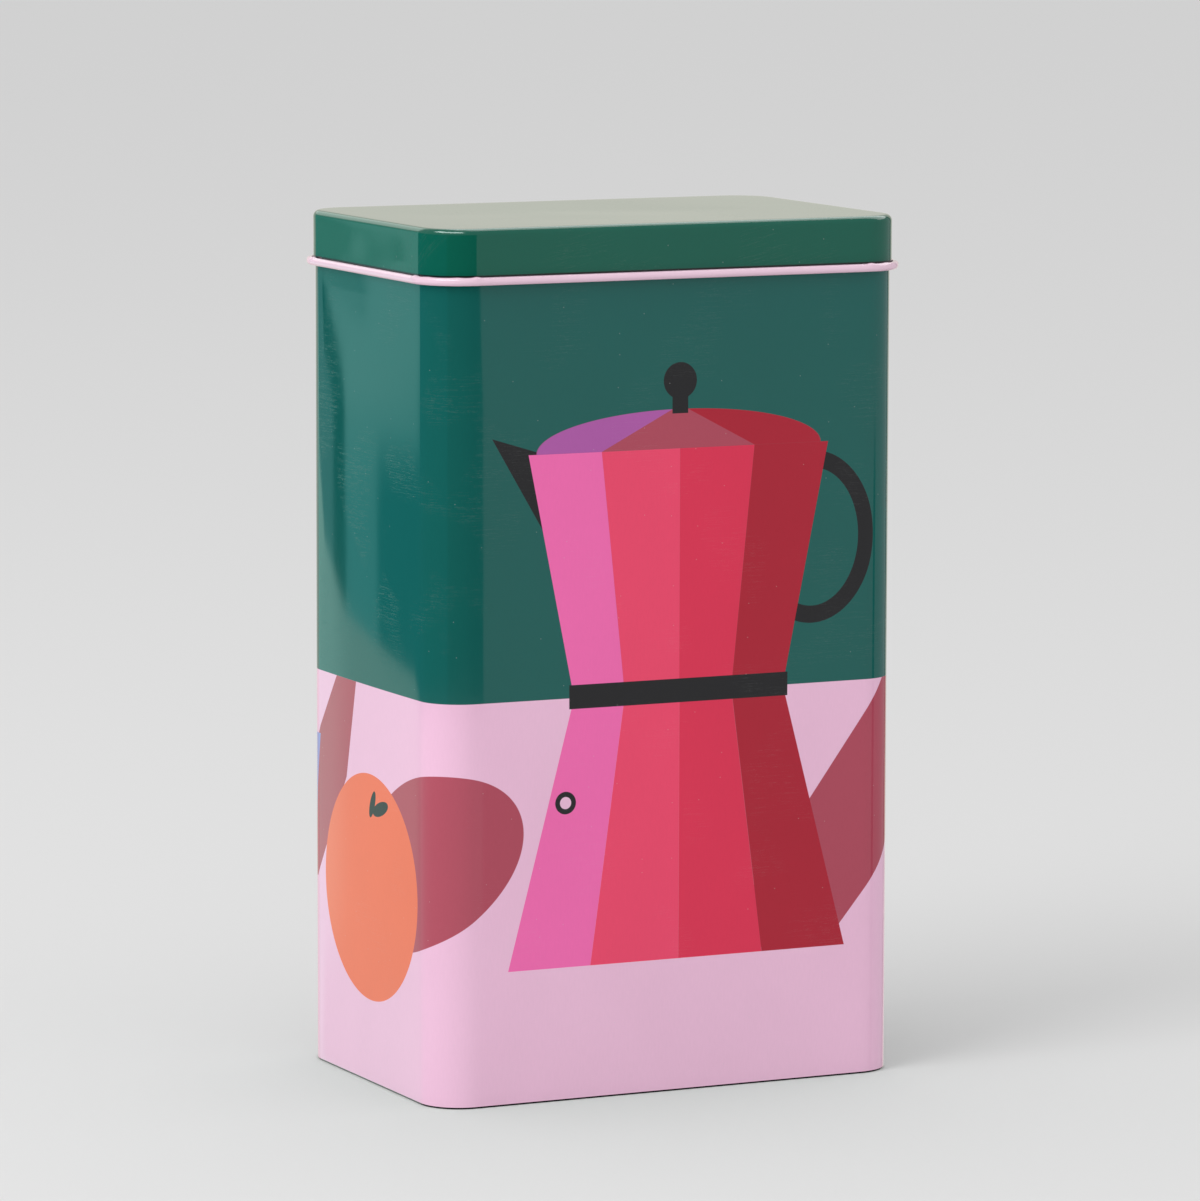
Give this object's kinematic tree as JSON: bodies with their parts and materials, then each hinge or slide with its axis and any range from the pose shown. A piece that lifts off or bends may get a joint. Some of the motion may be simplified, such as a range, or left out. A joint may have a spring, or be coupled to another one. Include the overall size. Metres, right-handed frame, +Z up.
{
  "type": "coffee tin",
  "caption": "Tall rectangular slip-lid storage tin in printed tinplate, with rounded corners, a lift-off lid with a rolled edge and a clinched recessed base.",
  "frame": {"origin": "centre of the footprint, on the plane the tin stands on", "axes": "+Z up, +X along the wide front, which faces -Y; the lock seam is on the back wall, at +Y"},
  "size_m": [0.1222, 0.0812, 0.2005],
  "materials": {
    "body_print": null,
    "lid_print": "gloss lacquer over deep green print, pale pink on the rolled edge",
    "plain_tinplate": "plain tinplate under clear lacquer"
  },
  "bodies": {
    "tin_body": {"body_shell": "body_print", "bottom_panel": "plain_tinplate"},
    "lid": {"lid": "lid_print"}
  },
  "joints": [
    {"name": "lid_lift", "type": "slide", "parent": "tin_body", "child": "lid", "axis": [0, 0, 1], "range_m": [0, 0.06]}
  ]
}
